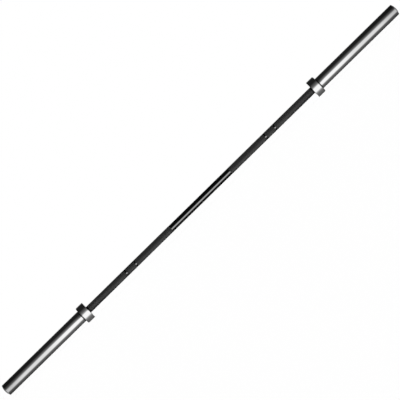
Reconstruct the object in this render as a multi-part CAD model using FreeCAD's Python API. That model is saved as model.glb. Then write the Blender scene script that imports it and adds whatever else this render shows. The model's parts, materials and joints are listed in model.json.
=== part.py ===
import FreeCAD, Part
import math
import os

# Olympic barbell: a knurled steel shaft, with a plated sleeve that turns on bearings at each end.
# X runs along the bar and Z is up. The origin is on the bar's axis, midway between its ends.
# All sizes are in millimetres.

os.makedirs("parts", exist_ok=True)

# The bar as a whole
overall_length = 2134.0
sleeve_length = 420.0  # where plates are loaded, from the collar to the end of the bar
sleeve_diameter = 50.0
collar_width = 35.0
collar_diameter = 76.0
shaft_diameter = 29.0  # smooth middle, ring marks and the journals in the collars

# The grip: bands of knurl stand a little proud of the smooth shaft
knurl_height = 0.3
smooth_middle = 320.0
inner_marks_apart = 708.0  # middle to middle
outer_marks_apart = 810.0
mark_width = 6.0
knurl_collar_gap = 5.0  # plain shaft left beside each collar

# The shaft inside the sleeve
shoulder_height = 2.0
shaft_tail = 5.0  # beyond the retaining ring
shaft_chamfer = 1.5

# Bushing under the collar
bushing_length = 30.0
bushing_inset = 1.0  # behind the seal
running_clearance = 0.05  # radial, on the shaft

# Needle bearing near the end of the sleeve
needle_diameter = 2.5
needle_length = 14.0
needle_count = 14
needle_clearance = 0.02  # radial, on each side of a needle
cup_wall = 1.0
cup_length = 20.0
cup_inset = 6.0  # from the end washer's pocket
lip_clearance = 0.9  # from the cup's lips to the shaft
cage_clearance = 0.3  # from the cage to the cup
cage_thickness = 1.6
pocket_clearance = 0.12  # from the cage to a needle

# Seal and thrust washers
seal_width = 5.0
seal_bevel = 1.5
seal_clearance = 0.3
washer_thickness = 3.0
washer_clearance = 0.3
shoulder_gap = 4.0  # from the bushing to the shoulder washer
end_float = 0.2  # axial play of the sleeve, each way

# Steps in the sleeve, each measured on the radius
collar_seat_step = 2.0  # lip that the plates push the collar against
collar_seat_width = 8.0
seal_seat_step = 1.0
thrust_step = 2.0  # what the thrust washers bear on

# Broken edges, and the grinding relief in the sleeve beside the collar
collar_inner_chamfer = 1.0
collar_outer_chamfer = 3.0
collar_bore_chamfer = 0.5
seam_chamfer = 0.3  # where the end cap meets the sleeve
relief_width = 3.0
relief_depth = 0.5

# End cap: a domed plug with a hollow spigot, which snaps into the sleeve on a spring ring
cap_dome_height = 6.0
cap_land = 2.0  # plain rim under the dome
cap_spigot_length = 10.0
cap_spigot_wall = 4.0
cap_clearance = 0.05  # radial, from the spigot to the sleeve
cap_shaft_gap = 8.0  # from the spigot to the end of the shaft
cap_groove_depth = 1.2
cap_ring_thickness = 1.5
cap_ring_inset = 4.0  # below the end of the tube
cap_ring_gap = 8.0

# Retaining rings and their grooves
shaft_ring_thickness = 2.0
groove_depth = 0.9
groove_play = 0.1  # how much wider a groove is than its ring
ring_clearance = 0.05  # from a ring to the floor of its groove
ring_width = 2.6
ring_taper = 0.5
ring_gap = 6.0
ear_radius = 1.9
ear_hole_radius = 0.9

# Places along the right-hand half of the bar
sleeve_end = overall_length / 2
collar_outer_face = sleeve_end - sleeve_length
collar_inner_face = collar_outer_face - collar_width
collar_seat_end = collar_inner_face + collar_seat_width
relief_end = collar_outer_face + relief_width
seal_back = collar_inner_face + seal_width
bushing_start = seal_back + bushing_inset
bushing_end = bushing_start + bushing_length
shoulder = bushing_end + shoulder_gap
inner_step = shoulder + washer_thickness + end_float
dome_start = sleeve_end - cap_dome_height
tube_end = dome_start - cap_land
cap_ring_start = tube_end - cap_ring_inset - cap_ring_thickness
cap_groove_end = cap_ring_start + cap_ring_thickness + groove_play
cap_back = tube_end - cap_spigot_length
shaft_end = cap_back - cap_shaft_gap
shaft_groove_end = shaft_end - shaft_tail
shaft_ring_start = shaft_groove_end - groove_play - shaft_ring_thickness
end_washer_start = shaft_ring_start - washer_thickness
outer_step = end_washer_start - end_float
cup_end = outer_step - cup_inset
cup_start = cup_end - cup_length

# Radii, each worked out from the piece inside it
shaft_radius = shaft_diameter / 2
spigot_radius = shaft_radius - shoulder_height
needle_radius = needle_diameter / 2
needle_circle = spigot_radius + needle_clearance + needle_radius
cup_bore = needle_circle + needle_radius + needle_clearance
sleeve_bore = cup_bore + cup_wall
bushing_bore = sleeve_bore + thrust_step
seal_bore = bushing_bore + seal_seat_step
pocket_bore = sleeve_bore + thrust_step
cap_ring_outer = pocket_bore + groove_depth
cap_spigot = pocket_bore - cap_clearance
cap_ring_inner = cap_spigot - cap_groove_depth
sleeve_radius = sleeve_diameter / 2
relief_radius = sleeve_radius - relief_depth
collar_seat = sleeve_radius + collar_seat_step


def turned(profile):
    """Solid of revolution about the bar's axis, from the (place, radius) corners of its section."""
    corners = [FreeCAD.Vector(x, 0, r) for x, r in profile]
    section = Part.Face(Part.makePolygon(corners + corners[:1]))
    return section.revolve(FreeCAD.Vector(0, 0, 0), FreeCAD.Vector(1, 0, 0), 360)


def ring(start, end, inner, outer):
    """Plain turned ring."""
    return turned([(start, inner), (end, inner), (end, outer), (start, outer)])


def rod(start, end, radius, y=0.0, z=0.0):
    """Cylinder along the bar."""
    base = FreeCAD.Vector(start, y, z)
    return Part.makeCylinder(radius, end - start, base, FreeCAD.Vector(1, 0, 0))


def slot(start, end, width, height):
    """Block that opens a ring upwards."""
    return Part.makeBox(end - start, width, height, FreeCAD.Vector(start, -width / 2, 0))


def shaft():
    """One turned bar: knurl bands and ring marks between the collars, a stepped journal in each sleeve."""
    crest = shaft_radius + knurl_height
    half_mark = mark_width / 2
    bands = [
        (smooth_middle / 2, inner_marks_apart / 2 - half_mark),
        (inner_marks_apart / 2 + half_mark, outer_marks_apart / 2 - half_mark),
        (outer_marks_apart / 2 + half_mark, collar_inner_face - knurl_collar_gap),
    ]
    outline = []
    for start, end in bands:
        outline += [(start, shaft_radius), (start, crest), (end, crest), (end, shaft_radius)]
    groove_floor = spigot_radius - groove_depth
    outline += [
        (shoulder, shaft_radius),
        (shoulder, spigot_radius),
        (shaft_ring_start, spigot_radius),
        (shaft_ring_start, groove_floor),
        (shaft_groove_end, groove_floor),
        (shaft_groove_end, spigot_radius),
        (shaft_end - shaft_chamfer, spigot_radius),
        (shaft_end, spigot_radius - shaft_chamfer),
        (shaft_end, 0),
    ]
    left_half = [(-x, r) for x, r in reversed(outline)]
    return turned(left_half + outline)


def sleeve_tube():
    """Tube from the collar's inner face to the end cap, stepped inside and out."""
    return turned([
        (collar_inner_face, seal_bore),
        (seal_back, seal_bore),
        (seal_back, bushing_bore),
        (inner_step, bushing_bore),
        (inner_step, sleeve_bore),
        (outer_step, sleeve_bore),
        (outer_step, pocket_bore),
        (cap_ring_start, pocket_bore),
        (cap_ring_start, cap_ring_outer),
        (cap_groove_end, cap_ring_outer),
        (cap_groove_end, pocket_bore),
        (tube_end, pocket_bore),
        (tube_end, sleeve_radius - seam_chamfer),
        (tube_end - seam_chamfer, sleeve_radius),
        (relief_end, sleeve_radius),
        (relief_end, relief_radius),
        (collar_outer_face, relief_radius),
        (collar_outer_face, sleeve_radius),
        (collar_seat_end, sleeve_radius),
        (collar_seat_end, collar_seat),
        (collar_inner_face, collar_seat),
    ])


def sleeve_collar():
    """Ring pressed on the tube, against the lip at its inner end, with chamfered rims."""
    rim = collar_diameter / 2
    return turned([
        (collar_inner_face, collar_seat),
        (collar_inner_face, rim - collar_inner_chamfer),
        (collar_inner_face + collar_inner_chamfer, rim),
        (collar_outer_face - collar_outer_chamfer, rim),
        (collar_outer_face, rim - collar_outer_chamfer),
        (collar_outer_face, sleeve_radius + collar_bore_chamfer),
        (collar_outer_face - collar_bore_chamfer, sleeve_radius),
        (collar_seat_end, sleeve_radius),
        (collar_seat_end, collar_seat),
    ])


def dust_seal():
    """Rubber ring in the collar's mouth, bevelled towards the shaft."""
    lip = shaft_radius + seal_clearance
    return turned([
        (collar_inner_face, lip + seal_bevel),
        (collar_inner_face + seal_bevel, lip),
        (seal_back, lip),
        (seal_back, seal_bore),
        (collar_inner_face, seal_bore),
    ])


def inner_bushing():
    """Bronze bushing, pressed in the sleeve and running on the shaft."""
    return ring(bushing_start, bushing_end, shaft_radius + running_clearance, bushing_bore)


def thrust_washer(start, pocket):
    """Washer round the shaft's spigot, loose in a pocket of the sleeve."""
    inner = spigot_radius + washer_clearance
    return ring(start, start + washer_thickness, inner, pocket - washer_clearance)


def needle_cup():
    """Drawn cup of the needle bearing: a thin shell with a lip turned in at each end."""
    lip = spigot_radius + lip_clearance
    return turned([
        (cup_start, lip),
        (cup_start + cup_wall, lip),
        (cup_start + cup_wall, cup_bore),
        (cup_end - cup_wall, cup_bore),
        (cup_end - cup_wall, lip),
        (cup_end, lip),
        (cup_end, sleeve_bore),
        (cup_start, sleeve_bore),
    ])


def needle_set(clearance):
    """Ring of needles in the middle of the cup, grown by a clearance all round."""
    middle = (cup_start + cup_end) / 2
    half = needle_length / 2 + clearance
    turns = [2 * math.pi * i / needle_count for i in range(needle_count)]
    places = [(needle_circle * math.sin(turn), needle_circle * math.cos(turn)) for turn in turns]
    return [rod(middle - half, middle + half, needle_radius + clearance, y, z) for y, z in places]


def needle_cage():
    """Cage that spaces the needles: a ring with one open pocket for each of them."""
    outer = cup_bore - cage_clearance
    margin = cup_wall + cage_clearance
    blank = ring(cup_start + margin, cup_end - margin, outer - cage_thickness, outer)
    return blank.cut(needle_set(pocket_clearance))


def shaft_retaining_ring():
    """External snap ring in the shaft's groove, with a tapered body and two ears: it keeps the sleeve on."""
    end = shaft_ring_start + shaft_ring_thickness
    seat = spigot_radius - groove_depth + ring_clearance
    gripped = rod(shaft_ring_start, end, seat)
    body = rod(shaft_ring_start, end, seat + ring_width, 0, -ring_taper).cut(gripped)
    ear_y = ring_gap / 2 + ear_radius
    ear_z = math.sqrt((seat + ear_radius) ** 2 - ear_y ** 2)
    ears = [rod(shaft_ring_start, end, ear_radius, y, ear_z) for y in (-ear_y, ear_y)]
    holes = [rod(shaft_ring_start, end, ear_hole_radius, y, ear_z) for y in (-ear_y, ear_y)]
    opening = slot(shaft_ring_start, end, ring_gap, seat + ring_width + ring_taper)
    return body.fuse(ears).removeSplitter().cut([opening] + holes)


def cap_retaining_ring():
    """Spring ring of plain section, half in the cap's groove and half in the sleeve's."""
    end = cap_ring_start + cap_ring_thickness
    whole = ring(cap_ring_start, end, cap_ring_inner + ring_clearance, cap_ring_outer - ring_clearance)
    return whole.cut(slot(cap_ring_start, end, cap_ring_gap, cap_ring_outer))


def end_cap():
    """Domed plug: its rim stands on the end of the tube, and its spigot is grooved for the spring ring."""
    hollow = cap_spigot - cap_spigot_wall
    plug = turned([
        (cap_back, hollow),
        (tube_end, hollow),
        (tube_end, 0),
        (sleeve_end, 0),
        (sleeve_end, sleeve_radius),
        (tube_end + seam_chamfer, sleeve_radius),
        (tube_end, sleeve_radius - seam_chamfer),
        (tube_end, cap_spigot),
        (cap_groove_end, cap_spigot),
        (cap_groove_end, cap_ring_inner),
        (cap_ring_start, cap_ring_inner),
        (cap_ring_start, cap_spigot),
        (cap_back, cap_spigot),
    ])
    dome_radius = (sleeve_radius ** 2 + cap_dome_height ** 2) / (2 * cap_dome_height)
    return plug.common(Part.makeSphere(dome_radius, FreeCAD.Vector(sleeve_end - dome_radius, 0, 0)))


right_hand_pieces = {
    "sleeve_tube": sleeve_tube(),
    "sleeve_collar": sleeve_collar(),
    "dust_seal": dust_seal(),
    "inner_bushing": inner_bushing(),
    "shoulder_washer": thrust_washer(shoulder, bushing_bore),
    "needle_cup": needle_cup(),
    "needle_cage": needle_cage(),
    "needle_rollers": Part.makeCompound(needle_set(0)),
    "end_washer": thrust_washer(end_washer_start, pocket_bore),
    "shaft_retaining_ring": shaft_retaining_ring(),
    "end_cap": end_cap(),
    "cap_retaining_ring": cap_retaining_ring(),
}

shaft().exportStep("parts/shaft.step")
for name, piece in right_hand_pieces.items():
    piece.exportStep(f"parts/right_{name}.step")
    turned_round = piece.rotated(FreeCAD.Vector(0, 0, 0), FreeCAD.Vector(0, 0, 1), 180)
    turned_round.exportStep(f"parts/left_{name}.step")
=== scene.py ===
import json
import math

import bmesh
import bpy
import numpy as np
from mathutils import Matrix, Vector


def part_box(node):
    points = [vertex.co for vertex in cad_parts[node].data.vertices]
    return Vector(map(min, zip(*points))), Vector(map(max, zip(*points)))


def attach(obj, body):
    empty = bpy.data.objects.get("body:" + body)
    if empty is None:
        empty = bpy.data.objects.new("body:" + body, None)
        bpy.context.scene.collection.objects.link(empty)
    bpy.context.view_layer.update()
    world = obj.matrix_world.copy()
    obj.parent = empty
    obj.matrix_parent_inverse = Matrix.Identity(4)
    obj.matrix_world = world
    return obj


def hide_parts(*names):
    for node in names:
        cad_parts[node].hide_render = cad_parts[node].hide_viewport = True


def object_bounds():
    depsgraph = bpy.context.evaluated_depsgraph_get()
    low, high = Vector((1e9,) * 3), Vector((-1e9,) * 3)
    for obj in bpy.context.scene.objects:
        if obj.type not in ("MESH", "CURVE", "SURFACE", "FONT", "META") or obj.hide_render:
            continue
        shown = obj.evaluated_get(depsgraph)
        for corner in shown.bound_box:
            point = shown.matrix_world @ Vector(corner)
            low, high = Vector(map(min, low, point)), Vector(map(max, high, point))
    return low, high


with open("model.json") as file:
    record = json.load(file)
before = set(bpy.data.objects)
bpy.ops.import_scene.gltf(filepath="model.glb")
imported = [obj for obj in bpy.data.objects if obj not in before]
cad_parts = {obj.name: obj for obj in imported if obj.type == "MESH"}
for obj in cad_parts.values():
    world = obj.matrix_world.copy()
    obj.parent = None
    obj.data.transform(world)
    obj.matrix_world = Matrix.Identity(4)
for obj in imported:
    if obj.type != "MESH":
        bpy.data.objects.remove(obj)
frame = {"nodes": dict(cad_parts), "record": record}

cad_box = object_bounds()

# The shaft: one round steel bar in a black oxide finish. Three stretches of diamond knurl are rolled into it
# on each side of a smooth middle, parted by two smooth ring marks. Each end is turned down to a journal for
# its bearing, with a groove for the snap ring.
SHAFT_RADIUS = 0.0145
KNURL_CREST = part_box("shaft")[1].z
KNURL_VALLEY = 0.01454
DIAMONDS_ROUND = 52
DIAMOND_HALF_LENGTH = 0.00155
CREST_ROUNDING = 0.85
SMOOTH_MIDDLE = 0.320
RING_MARKS_APART = (0.708, 0.810)
RING_MARK_WIDTH = 0.006
# The plain band between the knurl and the collar takes the near black steel: painted shade where the collar
# meets the shaft.
KNURL_COLLAR_GAP = 0.005
JOURNAL_RADIUS = 0.0125
RING_GROOVE_DEPTH = 0.0009
RING_GROOVE_PLAY = 0.0001
SHAFT_END_CHAMFER = 0.0015
EDGE_BREAK = 0.0003
CORNER_STEPS = 4
LONGEST_BREAK = 0.45  # share of a corner's shorter side

shaft_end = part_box("shaft")[1].x
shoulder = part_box("right_shoulder_washer")[0].x
snap_ring_low, snap_ring_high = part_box("right_shaft_retaining_ring")
collar_inner_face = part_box("right_sleeve_collar")[0].x


def add_node(tree, kind, inputs=None, **settings):
    """New shader node; its inputs are values or the sockets that feed them."""
    made = tree.nodes.new(kind)
    for name, value in settings.items():
        setattr(made, name, value)
    for name, value in (inputs or {}).items():
        if isinstance(value, bpy.types.NodeSocket):
            tree.links.new(value, made.inputs[name])
        else:
            made.inputs[name].default_value = value
    return made


def new_group(name, inputs, outputs):
    """Empty shader node group with float inputs (name to default) and float outputs."""
    tree = bpy.data.node_groups.new(name, "ShaderNodeTree")
    for label, default in inputs.items():
        socket = tree.interface.new_socket(label, in_out="INPUT", socket_type="NodeSocketFloat")
        socket.default_value = default
    for label in outputs:
        tree.interface.new_socket(label, in_out="OUTPUT", socket_type="NodeSocketFloat")
    return tree, tree.nodes.new("NodeGroupInput"), tree.nodes.new("NodeGroupOutput")


def calculate(tree, operation, *values, **settings):
    """Result of a math node on the given values or sockets."""
    made = add_node(tree, "ShaderNodeMath", dict(enumerate(values)), operation=operation, **settings)
    return made.outputs[0]


MM_PER_METRE = 1000.0
CM_PER_METRE = 100.0
RING_WAVES_PER_METRE = 30.0  # how slowly a ring wavers across the bar


def turned_finish():
    """Fine rings that a lathe or grinder leaves round the bar, and slow patches of tone along it."""
    tree, given, result = new_group("turned_finish", {"Rings per mm": 4.0, "Patch size mm": 60.0},
                                    ["Rings", "Patches"])
    place = add_node(tree, "ShaderNodeTexCoord").outputs["Object"]
    per_metre = calculate(tree, "MULTIPLY", given.outputs["Rings per mm"], MM_PER_METRE)
    squeeze = add_node(tree, "ShaderNodeCombineXYZ", {"X": per_metre, "Y": RING_WAVES_PER_METRE,
                                                      "Z": RING_WAVES_PER_METRE})
    along = add_node(tree, "ShaderNodeVectorMath", {0: place, 1: squeeze.outputs[0]}, operation="MULTIPLY")
    rings = add_node(tree, "ShaderNodeTexNoise", {"Vector": along.outputs[0], "Scale": 1.0, "Detail": 3.0})
    patch = calculate(tree, "DIVIDE", MM_PER_METRE, given.outputs["Patch size mm"])
    patches = add_node(tree, "ShaderNodeTexNoise", {"Vector": place, "Scale": patch, "Detail": 4.0})
    tree.links.new(rings.outputs["Fac"], result.inputs["Rings"])
    tree.links.new(patches.outputs["Fac"], result.inputs["Patches"])
    return tree


SCRATCHES_PER_METRE = 25.0  # along the bar
SCUFFED_PLACES_PER_METRE = 18.0
SCUFF_LIMIT = 0.62
SCUFF_EDGE = 0.06


def handling_scuffs():
    """Thin scratches along the bar, as hands, racks and plates leave them: 1 on a scratch, 0 elsewhere."""
    tree, given, result = new_group("handling_scuffs", {"Scratches per cm": 12.0, "Share": 0.3}, ["Scuffs"])
    place = add_node(tree, "ShaderNodeTexCoord").outputs["Object"]
    across = calculate(tree, "MULTIPLY", given.outputs["Scratches per cm"], CM_PER_METRE)
    stretch = add_node(tree, "ShaderNodeCombineXYZ", {"X": SCRATCHES_PER_METRE, "Y": across, "Z": across})
    drawn = add_node(tree, "ShaderNodeVectorMath", {0: place, 1: stretch.outputs[0]}, operation="MULTIPLY")
    lines = add_node(tree, "ShaderNodeTexNoise", {"Vector": drawn.outputs[0], "Scale": 1.0, "Detail": 2.0})
    where = add_node(tree, "ShaderNodeTexNoise", {"Vector": place, "Scale": SCUFFED_PLACES_PER_METRE,
                                                  "Detail": 2.0})
    both = calculate(tree, "MULTIPLY", lines.outputs["Fac"], where.outputs["Fac"])
    start = calculate(tree, "SUBTRACT", SCUFF_LIMIT, given.outputs["Share"])
    full = calculate(tree, "ADD", start, SCUFF_EDGE)
    mask = add_node(tree, "ShaderNodeMapRange", {"Value": both, "From Min": start, "From Max": full})
    tree.links.new(mask.outputs["Result"], result.inputs["Scuffs"])
    return tree


TURNED_FINISH = turned_finish()
HANDLING_SCUFFS = handling_scuffs()


RING_SPREAD = (0.3, 0.7)  # where most of the rings' values lie
SCUFF_ROUGHNESS = 0.08
SCUFF_DEPTH = 6.0  # in heights of a ring


def metal(name, dark, light, rough_low, rough_high, rings_per_mm, ring_height, scuff_share, metallic=1.0):
    """Machined metal: its tone follows the patches and its roughness the rings and scuffs.

    The rings stand in slight relief and the scuffs are cut into it."""
    material = bpy.data.materials.new(name)
    material.use_nodes = True
    tree = material.node_tree
    shader = tree.nodes["Principled BSDF"]
    shader.inputs["Metallic"].default_value = metallic
    finish = add_node(tree, "ShaderNodeGroup", node_tree=TURNED_FINISH)
    finish.inputs["Rings per mm"].default_value = rings_per_mm
    rings = finish.outputs["Rings"]
    marks = add_node(tree, "ShaderNodeGroup", node_tree=HANDLING_SCUFFS)
    marks.inputs["Share"].default_value = scuff_share
    scuffs = marks.outputs["Scuffs"]
    tone = add_node(tree, "ShaderNodeMix", {"Factor": finish.outputs["Patches"], "A": dark, "B": light},
                    data_type="RGBA")
    rough = add_node(tree, "ShaderNodeMapRange", {"Value": rings, "From Min": RING_SPREAD[0],
                                                  "From Max": RING_SPREAD[1], "To Min": rough_low,
                                                  "To Max": rough_high})
    worn = calculate(tree, "MULTIPLY_ADD", scuffs, SCUFF_ROUGHNESS, rough.outputs["Result"])
    relief = calculate(tree, "MULTIPLY_ADD", scuffs, -SCUFF_DEPTH, rings)
    bump = add_node(tree, "ShaderNodeBump", {"Height": relief, "Distance": ring_height, "Strength": 1.0})
    tree.links.new(tone.outputs["Result"], shader.inputs["Base Color"])
    tree.links.new(worn, shader.inputs["Roughness"])
    tree.links.new(bump.outputs["Normal"], shader.inputs["Normal"])
    return material


def grey(level):
    """Neutral colour with no tint, as linear red, green, blue and alpha."""
    return (level, level, level, 1.0)


black_steel = metal("black_steel", grey(0.33), grey(0.38), 0.03, 0.06, 3.0, 0.000001, 0.25)
knurled_steel = metal("knurled_steel", grey(0.058), grey(0.082), 0.16, 0.24, 3.0, 0.000001, 0.25,
                      metallic=0.55)
# Near black matt steel: the hidden journal; the plain shaft beside the collar, painted dark as the collar's
# shade; and the unplated relief at the collar's outer face, darkened as painted shade in the joint.
dull_steel_painted_shade = metal("dull_steel_painted_shade", grey(0.025), grey(0.04), 0.45, 0.60, 2.0, 0.000003, 0.22)


def round_crests(material):
    """Rolls the diamonds over: near its crest the surface turns back to face straight out from the bar."""
    tree = material.node_tree
    bump = next(n for n in tree.nodes if n.type == "BUMP")
    surface = add_node(tree, "ShaderNodeNewGeometry").outputs
    place = add_node(tree, "ShaderNodeTexCoord").outputs["Object"]
    across = add_node(tree, "ShaderNodeVectorMath", {0: place, 1: (0.0, 1.0, 1.0)}, operation="MULTIPLY")
    radius = add_node(tree, "ShaderNodeVectorMath", {0: across.outputs[0]}, operation="LENGTH")
    crest = add_node(tree, "ShaderNodeMapRange", {"Value": radius.outputs["Value"], "From Min": KNURL_VALLEY,
                                                  "From Max": KNURL_CREST, "To Max": CREST_ROUNDING})
    facing = add_node(tree, "ShaderNodeMix", {"Factor": crest.outputs["Result"],
                                              "A": surface["True Normal"], "B": surface["Normal"]},
                      data_type="VECTOR")
    tree.links.new(facing.outputs["Result"], bump.inputs["Normal"])


round_crests(knurled_steel)


def arc_corner(before, corner, after, radius):
    """Points of the small arc that breaks one corner of an outline."""
    to_before = Vector(before) - Vector(corner)
    to_after = Vector(after) - Vector(corner)
    reach = min(radius, LONGEST_BREAK * to_before.length, LONGEST_BREAK * to_after.length)
    start = Vector(corner) + to_before.normalized() * reach
    end = Vector(corner) + to_after.normalized() * reach
    curve = []
    for step in range(CORNER_STEPS + 1):
        t = step / CORNER_STEPS
        curve.append((1 - t) ** 2 * start + 2 * t * (1 - t) * Vector(corner) + t ** 2 * end)
    return [tuple(p) for p in curve]


def softened(outline, radius, closed):
    """Outline of (place, radius) corners with every corner broken by a small arc."""
    last = len(outline) - 1
    points = []
    for i, corner in enumerate(outline):
        if not closed and i in (0, last):
            points.append(corner)
        else:
            points += arc_corner(outline[i - 1], corner, outline[(i + 1) % (last + 1)], radius)
    return points


def knurl_rows(start, end):
    """Rings of one knurled stretch: each row has crests and valleys in turn, which the next row swaps."""
    count = round((end - start) / DIAMOND_HALF_LENGTH)
    step = (end - start) / count
    rows = [(start, SHAFT_RADIUS, SHAFT_RADIUS, "smooth")]
    for k in range(count):
        heights = (KNURL_CREST, KNURL_VALLEY) if k % 2 == 0 else (KNURL_VALLEY, KNURL_CREST)
        rows.append((start + (k + 0.5) * step, *heights, "knurl"))
    rows.append((end, SHAFT_RADIUS, SHAFT_RADIUS, "knurl"))
    return rows


def shaft_rows():
    """Rings of the whole shaft from left to right.

    Each has its place, the radius of even and of odd columns, and the finish up to that place."""
    half_mark = RING_MARK_WIDTH / 2
    inner_mark, outer_mark = (apart / 2 for apart in RING_MARKS_APART)
    stretches = [
        (SMOOTH_MIDDLE / 2, inner_mark - half_mark),
        (inner_mark + half_mark, outer_mark - half_mark),
        (outer_mark + half_mark, collar_inner_face - KNURL_COLLAR_GAP),
    ]
    groove = JOURNAL_RADIUS - RING_GROOVE_DEPTH
    groove_end = snap_ring_high.x + RING_GROOVE_PLAY
    journal = softened([
        (collar_inner_face, SHAFT_RADIUS),
        (shoulder, SHAFT_RADIUS),
        (shoulder, JOURNAL_RADIUS),
        (snap_ring_low.x, JOURNAL_RADIUS),
        (snap_ring_low.x, groove),
        (groove_end, groove),
        (groove_end, JOURNAL_RADIUS),
        (shaft_end - SHAFT_END_CHAMFER, JOURNAL_RADIUS),
        (shaft_end, JOURNAL_RADIUS - SHAFT_END_CHAMFER),
    ], EDGE_BREAK, closed=False)
    right = [row for start, end in stretches for row in knurl_rows(start, end)]
    # From here on the finish is the near black steel: first the plain band beside the collar, painted dark as
    # the collar's shade, then the journal hidden in the sleeve.
    right += [(x, r, r, "dull_and_shade") for x, r in journal]
    finish_after = [row[3] for row in right[1:]] + ["dull_and_shade"]
    left = [(-x, even, odd, finish) for (x, even, odd, _), finish in zip(right, finish_after)]
    return left[::-1] + right


def shaft_mesh():
    """Closed mesh of the shaft, with one raised pyramid for each diamond of the knurl."""
    rows = shaft_rows()
    columns = 2 * DIAMONDS_ROUND
    turn = 2 * math.pi * np.arange(columns) / columns
    even = np.arange(columns) % 2 == 0
    points = []
    for x, r_even, r_odd, _ in rows:
        r = np.where(even, r_even, r_odd)
        points.append(np.column_stack([np.full(columns, x), r * np.sin(turn), r * np.cos(turn)]))
    faces = []
    finishes = []
    for k in range(1, len(rows)):
        below, above = rows[k - 1], rows[k]
        for i in range(columns):
            j = (i + 1) % columns
            a, b = (k - 1) * columns + i, (k - 1) * columns + j
            c, d = k * columns + j, k * columns + i
            crest_at_a = (below[1] > below[2] or above[1] < above[2]) == (i % 2 == 0)
            if above[3] != "knurl":
                faces.append((a, b, c, d))
            elif crest_at_a:
                faces += [(a, b, d), (b, c, d)]
            else:
                faces += [(a, b, c), (a, c, d)]
            finishes += [above[3]] * (len(faces) - len(finishes))
    top = (len(rows) - 1) * columns
    faces += [tuple(reversed(range(columns))), tuple(range(top, top + columns))]
    finishes += ["dull_and_shade", "dull_and_shade"]
    mesh = bpy.data.meshes.new("shaft_bar")
    mesh.from_pydata(np.concatenate(points).tolist(), [], faces)
    finish_slots = {"smooth": black_steel, "knurl": knurled_steel, "dull_and_shade": dull_steel_painted_shade}
    for material in finish_slots.values():
        mesh.materials.append(material)
    slot_names = list(finish_slots)
    slot_of_face = np.array([slot_names.index(finish) for finish in finishes], dtype=np.int32)
    mesh.polygons.foreach_set("material_index", slot_of_face)
    mesh.polygons.foreach_set("use_smooth", np.ones(len(faces), dtype=bool))
    finish = [row[3] for row in rows]
    borders = [k for k in range(len(rows) - 1) if k and finish[k] != finish[k + 1]] + [0, len(rows) - 1]
    ends = np.empty(2 * len(mesh.edges), dtype=np.int32)
    mesh.edges.foreach_get("vertices", ends)
    first_row, second_row = ends.reshape(-1, 2).T // columns
    mesh.edges.foreach_set("use_edge_sharp", (first_row == second_row) & np.isin(first_row, borders))
    return mesh


def new_piece(name, mesh, body, slot, *replaced):
    """Object for a mesh that stands for CAD nodes and rides on their body."""
    piece = bpy.data.objects.new(name, mesh)
    bpy.context.scene.collection.objects.link(piece)
    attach(piece, body)
    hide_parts(*replaced)
    return piece


new_piece("shaft_bar", shaft_mesh(), "bar", "black_steel", "shaft")

# Thrust washers: hardened and ground steel rings, loose on the journal. One takes the sleeve's push at the
# shaft's shoulder, the other at the snap ring.
SIDES = {"left": -1.0, "right": 1.0}
nodes = frame["nodes"]
bearing_steel = metal("bearing_steel", grey(0.52), grey(0.60), 0.16, 0.26, 6.0, 0.000002, 0.22)


def finish_nodes(material, *names):
    """Gives CAD pieces on both sides their finish."""
    for side in SIDES:
        for name in names:
            nodes[f"{side}_{name}"].material_slots[0].material = material


finish_nodes(bearing_steel, "shoulder_washer", "end_washer")

# Inner bushings: plain tubes of sintered bronze, pressed into the sleeve under the collar. They carry the
# inner end of the sleeve on the shaft, and their pores hold oil.
BRONZE_DARK = (0.50, 0.31, 0.15, 1.0)
BRONZE_LIGHT = (0.66, 0.43, 0.21, 1.0)
bronze = metal("bronze", BRONZE_DARK, BRONZE_LIGHT, 0.28, 0.38, 2.0, 0.000003, 0.26)
finish_nodes(bronze, "inner_bushing")

# Needle bearings: a drawn steel cup pressed into the sleeve, a slotted cage and fourteen ground needles. They
# run straight on the journal and carry the outer end of the sleeve.
finish_nodes(bearing_steel, "needle_cup", "needle_cage", "needle_rollers")

# Shaft retaining rings: blackened snap rings of spring steel with two plier ears. They sit in the journal's
# groove and keep the sleeve on the shaft.
spring_steel = metal("spring_steel", grey(0.07), grey(0.11), 0.30, 0.42, 2.0, 0.000002, 0.28)
finish_nodes(spring_steel, "shaft_retaining_ring")

# Sleeve tubes: thick steel tubes, ground and hard chrome plated, that plates slide on. A narrow grinding
# relief beside the collar is left unplated and matt, and its near black colour is also painted shade in the
# joint. The bore is stepped for the bearings, the washers and the end cap.
plate_pin = next(m for m in frame["record"]["mounts"] if m["name"] == "right_sleeve")
SLEEVE_RADIUS = plate_pin["dims"]["r_mm"] / MM_PER_METRE
SEAM_CHAMFER = 0.0003
RELIEF_WIDTH = 0.003
RELIEF_DEPTH = 0.0005
PLATING_OVERLAP = 0.0001  # how far the plating reaches down the relief's edges
COLLAR_SEAT_WIDTH = 0.008
WASHER_CLEARANCE = 0.0003
END_FLOAT = 0.0002
TURNED_SIDES = 192
WELD_DISTANCE = 1e-7
CREASE_ANGLE = math.radians(40)

chrome = metal("chrome", grey(0.92), grey(0.96), 0.03, 0.06, 5.0, 0.0000006, 0.36)
tube_low, tube_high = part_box("right_sleeve_tube")
collar_low, collar_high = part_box("right_sleeve_collar")
seal_low, seal_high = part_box("right_dust_seal")
bushing_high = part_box("right_inner_bushing")[1]
cup_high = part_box("right_needle_cup")[1]
shoulder_washer_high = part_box("right_shoulder_washer")[1]
end_washer_low, end_washer_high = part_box("right_end_washer")
cap_low, cap_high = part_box("right_end_cap")
cap_ring_low, cap_ring_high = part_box("right_cap_retaining_ring")


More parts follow.
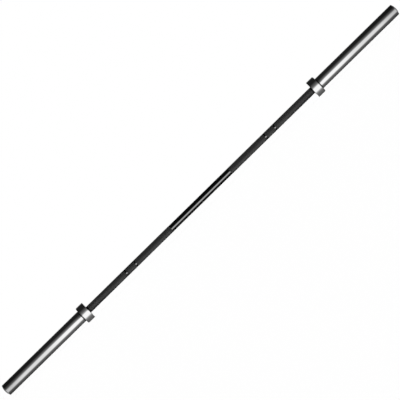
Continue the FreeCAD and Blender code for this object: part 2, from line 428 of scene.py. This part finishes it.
def turned_mesh(name, outline, side, material):
    """Closed body turned about the bar's axis from a closed outline of (place, radius) points."""
    count = len(outline)
    turn = 2 * math.pi * np.arange(TURNED_SIDES) / TURNED_SIDES
    place, radius = np.array(outline).T
    points = np.stack([
        np.tile(side * place, (TURNED_SIDES, 1)),
        np.outer(side * np.sin(turn), radius),
        np.outer(np.cos(turn), radius),
    ], axis=-1).reshape(-1, 3)
    faces = []
    for i in range(TURNED_SIDES):
        this, following = i * count, (i + 1) % TURNED_SIDES * count
        for k in range(count):
            m = (k + 1) % count
            faces.append((this + k, this + m, following + m, following + k))
    mesh = bpy.data.meshes.new(name)
    mesh.from_pydata(points.tolist(), [], faces)
    mesh.materials.append(material)
    mesh.polygons.foreach_set("use_smooth", np.ones(len(faces), dtype=bool))
    build = bmesh.new()
    build.from_mesh(mesh)
    bmesh.ops.remove_doubles(build, verts=build.verts, dist=WELD_DISTANCE)
    bmesh.ops.recalc_face_normals(build, faces=build.faces)
    build.to_mesh(mesh)
    build.free()
    mesh.set_sharp_from_angle(angle=CREASE_ANGLE)
    return mesh


inner_step = shoulder_washer_high.x + END_FLOAT
outer_step = end_washer_low.x - END_FLOAT
pocket_bore = end_washer_high.z + WASHER_CLEARANCE
ring_groove = pocket_bore + RING_GROOVE_DEPTH
ring_groove_end = cap_ring_high.x + RING_GROOVE_PLAY
relief_end = collar_high.x + RELIEF_WIDTH
relief_floor = SLEEVE_RADIUS - RELIEF_DEPTH
seat_end = tube_low.x + COLLAR_SEAT_WIDTH
tube_outline = softened([
    (tube_low.x, seal_high.z),
    (seal_high.x, seal_high.z),
    (seal_high.x, bushing_high.z),
    (inner_step, bushing_high.z),
    (inner_step, cup_high.z),
    (outer_step, cup_high.z),
    (outer_step, pocket_bore),
    (cap_ring_low.x, pocket_bore),
    (cap_ring_low.x, ring_groove),
    (ring_groove_end, ring_groove),
    (ring_groove_end, pocket_bore),
    (tube_high.x, pocket_bore),
    (tube_high.x, SLEEVE_RADIUS - SEAM_CHAMFER),
    (tube_high.x - SEAM_CHAMFER, SLEEVE_RADIUS),
    (relief_end, SLEEVE_RADIUS),
    (relief_end, relief_floor),
    (collar_high.x, relief_floor),
    (collar_high.x, SLEEVE_RADIUS),
    (seat_end, SLEEVE_RADIUS),
    (seat_end, tube_high.z),
    (tube_low.x, tube_high.z),
], EDGE_BREAK, closed=True)
middle_of_wall = (pocket_bore + SLEEVE_RADIUS) / 2
for side, sign in SIDES.items():
    mesh = turned_mesh(f"{side}_plated_tube", tube_outline, sign, chrome)
    # The relief's faces take the near black steel: they are unplated, and their darkness is painted shade in
    # the joint.
    mesh.materials.append(dull_steel_painted_shade)
    for face in mesh.polygons:
        between_edges = collar_high.x < abs(face.center.x) < relief_end
        if between_edges and middle_of_wall < face.center.yz.length < SLEEVE_RADIUS - PLATING_OVERLAP:
            face.material_index = 1
    new_piece(f"{side}_plated_tube", mesh, f"{side}_sleeve", "chrome", f"{side}_sleeve_tube")

# Collars: plain chrome plated steel rings, pressed on the tube against the lip at its inner end. They stop
# the plates, and both rims are turned to a chamfer.
COLLAR_INNER_CHAMFER = 0.001
COLLAR_OUTER_CHAMFER = 0.003
COLLAR_BORE_CHAMFER = 0.0005
rim = collar_high.z
collar_outline = softened([
    (collar_low.x, tube_high.z),
    (collar_low.x, rim - COLLAR_INNER_CHAMFER),
    (collar_low.x + COLLAR_INNER_CHAMFER, rim),
    (collar_high.x - COLLAR_OUTER_CHAMFER, rim),
    (collar_high.x, rim - COLLAR_OUTER_CHAMFER),
    (collar_high.x, SLEEVE_RADIUS + COLLAR_BORE_CHAMFER),
    (collar_high.x - COLLAR_BORE_CHAMFER, SLEEVE_RADIUS),
    (seat_end, SLEEVE_RADIUS),
    (seat_end, tube_high.z),
], EDGE_BREAK, closed=True)
for side, sign in SIDES.items():
    mesh = turned_mesh(f"{side}_plated_collar", collar_outline, sign, chrome)
    new_piece(f"{side}_plated_collar", mesh, f"{side}_sleeve", "chrome", f"{side}_sleeve_collar")

# Dust seals: moulded black rubber rings, pushed into the sleeve's mouth. A bevelled lip stands just clear of
# the shaft and keeps dust out of the bushing.
SEAL_CLEARANCE = 0.0003
SEAL_BEVEL = 0.0015
RUBBER_GRAINS_PER_METRE = 2500.0
RUBBER_BLOOMS_PER_METRE = 150.0
RUBBER_GRAIN_HEIGHT = 0.00002


def rubber_material():
    """Moulded black rubber: near black, with a fine matt grain."""
    material = bpy.data.materials.new("rubber")
    material.use_nodes = True
    tree = material.node_tree
    shader = tree.nodes["Principled BSDF"]
    place = add_node(tree, "ShaderNodeTexCoord").outputs["Object"]
    grain = add_node(tree, "ShaderNodeTexNoise", {"Vector": place, "Scale": RUBBER_GRAINS_PER_METRE,
                                                  "Detail": 3.0}).outputs["Fac"]
    bloom = add_node(tree, "ShaderNodeTexNoise", {"Vector": place, "Scale": RUBBER_BLOOMS_PER_METRE,
                                                  "Detail": 3.0}).outputs["Fac"]
    tone = add_node(tree, "ShaderNodeMix", {"Factor": bloom, "A": grey(0.012), "B": grey(0.03)},
                    data_type="RGBA")
    rough = add_node(tree, "ShaderNodeMapRange", {"Value": grain, "To Min": 0.5, "To Max": 0.75})
    bump = add_node(tree, "ShaderNodeBump", {"Height": grain, "Distance": RUBBER_GRAIN_HEIGHT})
    tree.links.new(tone.outputs["Result"], shader.inputs["Base Color"])
    tree.links.new(rough.outputs["Result"], shader.inputs["Roughness"])
    tree.links.new(bump.outputs["Normal"], shader.inputs["Normal"])
    return material


rubber = rubber_material()
lip = SHAFT_RADIUS + SEAL_CLEARANCE
seal_outline = softened([
    (seal_low.x, lip + SEAL_BEVEL),
    (seal_low.x + SEAL_BEVEL, lip),
    (seal_high.x, lip),
    (seal_high.x, seal_high.z),
    (seal_low.x, seal_high.z),
], EDGE_BREAK, closed=True)
for side, sign in SIDES.items():
    mesh = turned_mesh(f"{side}_rubber_seal", seal_outline, sign, rubber)
    new_piece(f"{side}_rubber_seal", mesh, f"{side}_sleeve", "rubber", f"{side}_dust_seal")

# End caps: domed steel plugs, polished and plated like the tubes. The rim stands on the tube's end, and the
# hollow spigot snaps into the bore on its spring ring.
CAP_DOME_HEIGHT = 0.006
CAP_SPIGOT_WALL = 0.004
CAP_GROOVE_DEPTH = 0.0012
CAP_CLEARANCE = 0.00005
DOME_STEPS = 24

dome_radius = (SLEEVE_RADIUS ** 2 + CAP_DOME_HEIGHT ** 2) / (2 * CAP_DOME_HEIGHT)
dome_reach = math.asin(SLEEVE_RADIUS / dome_radius)
spigot = pocket_bore - CAP_CLEARANCE
spigot_hollow = spigot - CAP_SPIGOT_WALL
spigot_groove = spigot - CAP_GROOVE_DEPTH
dome = []
for step in range(DOME_STEPS):
    lean = dome_reach * step / DOME_STEPS
    dome.append((cap_high.x - dome_radius * (1 - math.cos(lean)), dome_radius * math.sin(lean)))
rim_and_spigot = softened([
    dome[-1],
    (cap_high.x - CAP_DOME_HEIGHT, SLEEVE_RADIUS),
    (tube_high.x + SEAM_CHAMFER, SLEEVE_RADIUS),
    (tube_high.x, SLEEVE_RADIUS - SEAM_CHAMFER),
    (tube_high.x, spigot),
    (ring_groove_end, spigot),
    (ring_groove_end, spigot_groove),
    (cap_ring_low.x, spigot_groove),
    (cap_ring_low.x, spigot),
    (cap_low.x, spigot),
    (cap_low.x, spigot_hollow),
    (tube_high.x, spigot_hollow),
    (tube_high.x, 0.0),
], EDGE_BREAK, closed=False)
cap_outline = dome + rim_and_spigot[1:]
for side, sign in SIDES.items():
    mesh = turned_mesh(f"{side}_domed_cap", cap_outline, sign, chrome)
    new_piece(f"{side}_domed_cap", mesh, f"{side}_sleeve", "chrome", f"{side}_end_cap")

# Cap retaining rings: open rings of blackened spring steel, plain in section. They lie partly in the cap's
# groove and partly in the tube's, and hold the cap in.
finish_nodes(spring_steel, "cap_retaining_ring")

# The studio: a white paper floor that the collars rest on and one soft overhead light, which draws the
# shadow. What the metal reflects is painted by two graded pieces that only mirrors see and that glow though
# they are no lamps: a tent whose painted reflection darkens from the horizon to the top, and a board on the
# floor that paints the reflection of a bright floor, with a painted shadow of the bar as a dark strip under
# it and a painted bright band under the knurl.
FLOOR_SIZE = 80.0
FLOOR_ALBEDO = 0.9
FLOOR_FILL = 0.18
AMBIENT = 0.30
SUN_STRENGTH = 1.92
SUN_SPREAD = math.radians(50)
SUN_TILT = math.radians(8)
TENT_RADIUS = 1.5
TENT_HALF_LENGTH = 1.1
TENT_SEGMENTS = 64
TENT_TOP = 90.0  # degrees above the horizon
ON_HORIZON = 0.001
# Tones of the tent's glow by degrees above the horizon: the painted reflection on the collars and sleeves,
# and a darker painted reflection on the shaft.
TENT_OVER_SLEEVES = [(0, 0.88), (3, 0.68), (6, 0.49), (9, 0.38), (12, 0.29), (18, 0.185), (24, 0.13),
                     (36, 0.08), (48, 0.038), (60, 0.013)]
TENT_OVER_SHAFT = [(0, 0.18), (3, 0.06), (8, 0.02), (20, 0.01), (35, 0.006)]
SHAFT_END = 0.43
SLEEVE_START = 0.56
BOARD_HALF_WIDTH = 1.5
BOARD_HALF_LENGTH = 2.7
BOARD_LIFT = 0.0005
# Tones of the board's glow by distance out from under the bar: a painted shadow of the bar under the sleeves,
# the smooth middle and the marks, and under the knurl a painted bright band from 16 to 36 mm out.
STRIP_REACH = 0.06
STRIP_UNDER_SLEEVES = [(0.0, 0.07), (0.0136, 0.10), (0.020, 0.125), (0.025, 0.155), (0.029, 0.20),
                       (0.033, 0.29), (0.036, 0.42), (0.040, 0.66), (0.043, 0.82), (0.047, 0.96),
                       (0.052, 1.0)]
STRIP_UNDER_KNURL = [(0.0, 0.05), (0.010, 0.20), (0.016, 1.0), (0.036, 1.0), (0.060, 0.25)]
STRIP_UNDER_SMOOTH = [(0.0, 0.01), (0.025, 0.02), (0.031, 0.07), (0.036, 0.25), (0.043, 0.70),
                      (0.050, 0.97), (0.054, 1.0)]
STRIP_FADE = 0.008
STRIP_WIDENING = 1.2
STRIP_END = (1.09, 1.20)
STRIP_BEHIND = 0.6
# The glows dim away from the bar, more opposite the shaft, and fade towards the bar's ends: painted falloff
# of the light.
BOARD_FAR_REACH = 1.5
BOARD_FAR_SLEEVES = [(0.15, 1.0), (0.6, 0.94), (1.5, 0.90)]
BOARD_FAR_SHAFT = [(0.12, 1.0), (0.20, 0.88), (0.40, 0.70), (1.5, 0.45)]
FADE_REACH = 1.6
FADE_TO_ENDS = [(0.73, 1.0), (0.78, 0.946), (0.827, 0.835), (0.90, 0.763), (0.985, 0.763), (1.014, 0.66),
                (1.045, 0.58), (1.09, 0.52), (1.20, 0.26), (1.40, 0.22)]
TENT_STAND_OFF = 1.125


def seen_rays(tree):
    """1 for rays from the camera, a mirror or glass, 0 for rays that only carry light."""
    path = add_node(tree, "ShaderNodeLightPath").outputs
    mirror = calculate(tree, "ADD", path["Is Camera Ray"], path["Is Glossy Ray"])
    return calculate(tree, "ADD", mirror, path["Is Transmission Ray"], use_clamp=True)


def stage_piece(name, build, material):
    """Stage object from a filled bmesh, which isn't part of the barbell."""
    mesh = bpy.data.meshes.new(name)
    build.to_mesh(mesh)
    build.free()
    mesh.materials.append(material)
    piece = bpy.data.objects.new(name, mesh)
    bpy.context.scene.collection.objects.link(piece)
    return piece


def stage_material(name):
    """Empty material for the stage, with its node tree."""
    material = bpy.data.materials.new(name)
    material.use_nodes = True
    material.node_tree.nodes.clear()
    return material, material.node_tree


def floor_material():
    """Matt white paper with a little glow where it is seen: it reads white and still takes a shadow."""
    material, tree = stage_material("studio_floor")
    fill = calculate(tree, "MULTIPLY", seen_rays(tree), FLOOR_FILL)
    glow = add_node(tree, "ShaderNodeEmission", {"Color": grey(1.0), "Strength": fill})
    paper = add_node(tree, "ShaderNodeBsdfDiffuse", {"Color": grey(FLOOR_ALBEDO)})
    both = add_node(tree, "ShaderNodeAddShader", {0: paper.outputs[0], 1: glow.outputs[0]})
    add_node(tree, "ShaderNodeOutputMaterial", {"Surface": both.outputs[0]})
    return material


def graded(tree, place, reach, tones):
    """Tone that follows a place from 0 to its reach, by a list of (place, tone)."""
    ramp = add_node(tree, "ShaderNodeValToRGB", {"Fac": calculate(tree, "DIVIDE", place, reach)})
    stops = ramp.color_ramp.elements
    while len(stops) < len(tones):
        stops.new(1.0)
    for stop, (at, level) in zip(stops, tones):
        stop.position = at / reach
        stop.color = grey(level)
    return ramp.outputs["Color"]


def place_along(tree, axis):
    """Place along one axis, in metres from the middle of the bar."""
    position = add_node(tree, "ShaderNodeNewGeometry").outputs["Position"]
    return add_node(tree, "ShaderNodeSeparateXYZ", {"Vector": position}).outputs[axis]


def distance_along(tree, axis):
    """Distance from the middle of the bar along one axis."""
    return calculate(tree, "ABSOLUTE", place_along(tree, axis))


def passing(tree, value, start, end, from_tone, to_tone):
    """Value that goes smoothly from one tone to another between two places."""
    step = add_node(tree, "ShaderNodeMapRange", {"Value": value, "From Min": start, "From Max": end,
                                                 "To Min": from_tone, "To Max": to_tone},
                    interpolation_type="SMOOTHSTEP")
    return step.outputs["Result"]


def blend(tree, share, one, other):
    """One tone at a share of 0 and the other at a share of 1."""
    return add_node(tree, "ShaderNodeMix", {"Factor": share, "A": one, "B": other},
                    data_type="RGBA").outputs["Result"]


def shaft_or_sleeves(tree, shaft_tone, sleeve_tone):
    """One tone opposite the shaft and another opposite the collars and sleeves."""
    ends = passing(tree, distance_along(tree, "X"), SHAFT_END, SLEEVE_START, 0.0, 1.0)
    return blend(tree, ends, shaft_tone, sleeve_tone)


def opposite_smooth(tree):
    """1 opposite the smooth middle and the ring marks, 0 opposite the knurl between them."""
    along = distance_along(tree, "X")
    smooth = passing(tree, along, SMOOTH_MIDDLE / 2, SMOOTH_MIDDLE / 2 + STRIP_FADE, 1.0, 0.0)
    for apart in RING_MARKS_APART:
        away = calculate(tree, "ABSOLUTE", calculate(tree, "SUBTRACT", along, apart / 2))
        mark = passing(tree, away, RING_MARK_WIDTH / 2, RING_MARK_WIDTH / 2 + STRIP_FADE, 1.0, 0.0)
        smooth = calculate(tree, "MAXIMUM", smooth, mark)
    return smooth


def product(tree, one, other):
    """Two tones multiplied."""
    return add_node(tree, "ShaderNodeMix", {"Factor": 1.0, "A": one, "B": other}, data_type="RGBA",
                    blend_type="MULTIPLY").outputs["Result"]


def glowing(tree, tone):
    """Lets the stage piece glow with its tone, though it is no lamp: the metal shows it as a painted
    reflection.
    """
    glow = add_node(tree, "ShaderNodeEmission", {"Color": tone, "Strength": 1.0})
    add_node(tree, "ShaderNodeOutputMaterial", {"Surface": glow.outputs[0]})


def painted_reflection_tent():
    """Glowing tent, a painted reflection: its tone follows the height above the horizon, darker over the
    shaft and at the ends.
    """
    material, tree = stage_material("tent_painted_reflection")
    above = calculate(tree, "MAXIMUM", place_along(tree, "Z"), 0.0)
    rise = calculate(tree, "ARCSINE", calculate(tree, "DIVIDE", above, TENT_RADIUS))
    degrees = calculate(tree, "DEGREES", rise)
    tone = shaft_or_sleeves(tree, graded(tree, degrees, TENT_TOP, TENT_OVER_SHAFT),
                            graded(tree, degrees, TENT_TOP, TENT_OVER_SLEEVES))
    opposite = calculate(tree, "DIVIDE", distance_along(tree, "X"), TENT_STAND_OFF)
    glowing(tree, product(tree, tone, graded(tree, opposite, FADE_REACH, FADE_TO_ENDS)))
    return material


def painted_reflection_board():
    """Glowing board, a painted reflection: a painted shadow of the bar as a dark strip under it, a painted
    bright band under the knurl, white beside, and fading towards the bar's ends.
    """
    material, tree = stage_material("board_painted_reflection_and_shadow")
    front = calculate(tree, "MULTIPLY", place_along(tree, "Y"), -1.0)
    behind = calculate(tree, "MULTIPLY", place_along(tree, "Y"), STRIP_BEHIND)
    aside = calculate(tree, "MAXIMUM", front, behind)
    along = distance_along(tree, "X")
    width = passing(tree, along, collar_high.x, relief_end, STRIP_WIDENING, 1.0)
    share = calculate(tree, "DIVIDE", aside, width)
    # Painted shadow under the smooth middle, the marks and the sleeves; painted bright band under the knurl.
    under_shaft = blend(tree, opposite_smooth(tree), graded(tree, share, STRIP_REACH, STRIP_UNDER_KNURL),
                        graded(tree, share, STRIP_REACH, STRIP_UNDER_SMOOTH))
    under_bar = shaft_or_sleeves(tree, under_shaft, graded(tree, share, STRIP_REACH, STRIP_UNDER_SLEEVES))
    strip = blend(tree, passing(tree, along, *STRIP_END, 0.0, 1.0), under_bar, grey(1.0))
    away = distance_along(tree, "Y")
    far = shaft_or_sleeves(tree, graded(tree, away, BOARD_FAR_REACH, BOARD_FAR_SHAFT),
                           graded(tree, away, BOARD_FAR_REACH, BOARD_FAR_SLEEVES))
    fade = graded(tree, along, FADE_REACH, FADE_TO_ENDS)
    glowing(tree, product(tree, product(tree, strip, far), fade))
    return material


def reflection_only(piece):
    """The piece shows in metal, and neither the camera nor the lamp's light meets it."""
    piece.visible_camera = False
    piece.visible_diffuse = False
    piece.visible_shadow = False


floor_level = cad_box[0].z
build = bmesh.new()
bmesh.ops.create_grid(build, x_segments=1, y_segments=1, size=FLOOR_SIZE / 2,
                      matrix=Matrix.Translation((0, 0, floor_level)))
stage_piece("studio_floor", build, floor_material())

build = bmesh.new()
bmesh.ops.create_uvsphere(build, u_segments=TENT_SEGMENTS, v_segments=TENT_SEGMENTS, radius=TENT_RADIUS)
bmesh.ops.delete(build, geom=[v for v in build.verts if v.co.z < -ON_HORIZON], context="VERTS")
for v in build.verts:
    if abs(v.co.x) > ON_HORIZON:
        v.co.x += math.copysign(TENT_HALF_LENGTH, v.co.x)
    if v.co.z < ON_HORIZON:
        v.co.z = floor_level
reflection_only(stage_piece("tent_painted_reflection", build, painted_reflection_tent()))

build = bmesh.new()
bmesh.ops.create_grid(build, x_segments=1, y_segments=1, size=1.0,
                      matrix=Matrix.Translation((0, 0, floor_level + BOARD_LIFT))
                      @ Matrix.Diagonal((BOARD_HALF_LENGTH, BOARD_HALF_WIDTH, 1.0, 1.0)))
reflection_only(stage_piece("board_painted_reflection_and_shadow", build, painted_reflection_board()))

sun = bpy.data.objects.new("overhead_light", bpy.data.lights.new("overhead_light", "SUN"))
sun.data.energy = SUN_STRENGTH
sun.data.angle = SUN_SPREAD
sun.rotation_euler = (-SUN_TILT, 0, 0)
sun.visible_glossy = False
bpy.context.scene.collection.objects.link(sun)

world = bpy.data.worlds.new("studio")
world.use_nodes = True
tree = world.node_tree
tree.nodes.clear()
ambient = add_node(tree, "ShaderNodeBackground", {"Color": grey(1.0), "Strength": AMBIENT})
backdrop = add_node(tree, "ShaderNodeBackground", {"Color": grey(1.0), "Strength": 1.0})
shown = add_node(tree, "ShaderNodeMixShader", {0: seen_rays(tree), 1: ambient.outputs[0],
                                               2: backdrop.outputs[0]})
add_node(tree, "ShaderNodeOutputWorld", {"Surface": shown.outputs[0]})
bpy.context.scene.world = world
bpy.context.scene.view_settings.view_transform = "Standard"

# The camera looks straight at the middle of the bar from far to the side, through a long lens. It is turned
# so that the bar runs from the lower left to the upper right of the picture.
CAMERA_DISTANCE = 20.0
PICTURE_WIDTH = 1.560
PICTURE_MIDDLE = (-0.0018, 0.0011)
BAR_SLOPE = math.radians(44.43)
SENSOR_WIDTH = 36.0

camera = bpy.data.objects.new("camera", bpy.data.cameras.new("camera"))
camera.data.sensor_width = SENSOR_WIDTH
camera.data.lens = SENSOR_WIDTH * CAMERA_DISTANCE / PICTURE_WIDTH
right = Vector((math.cos(BAR_SLOPE), 0, -math.sin(BAR_SLOPE)))
up = Vector((math.sin(BAR_SLOPE), 0, math.cos(BAR_SLOPE)))
facing = Matrix((right, up, right.cross(up))).transposed().to_4x4()
camera.matrix_world = Matrix.Translation((PICTURE_MIDDLE[0], -CAMERA_DISTANCE, PICTURE_MIDDLE[1])) @ facing
bpy.context.scene.collection.objects.link(camera)
bpy.context.scene.camera = camera
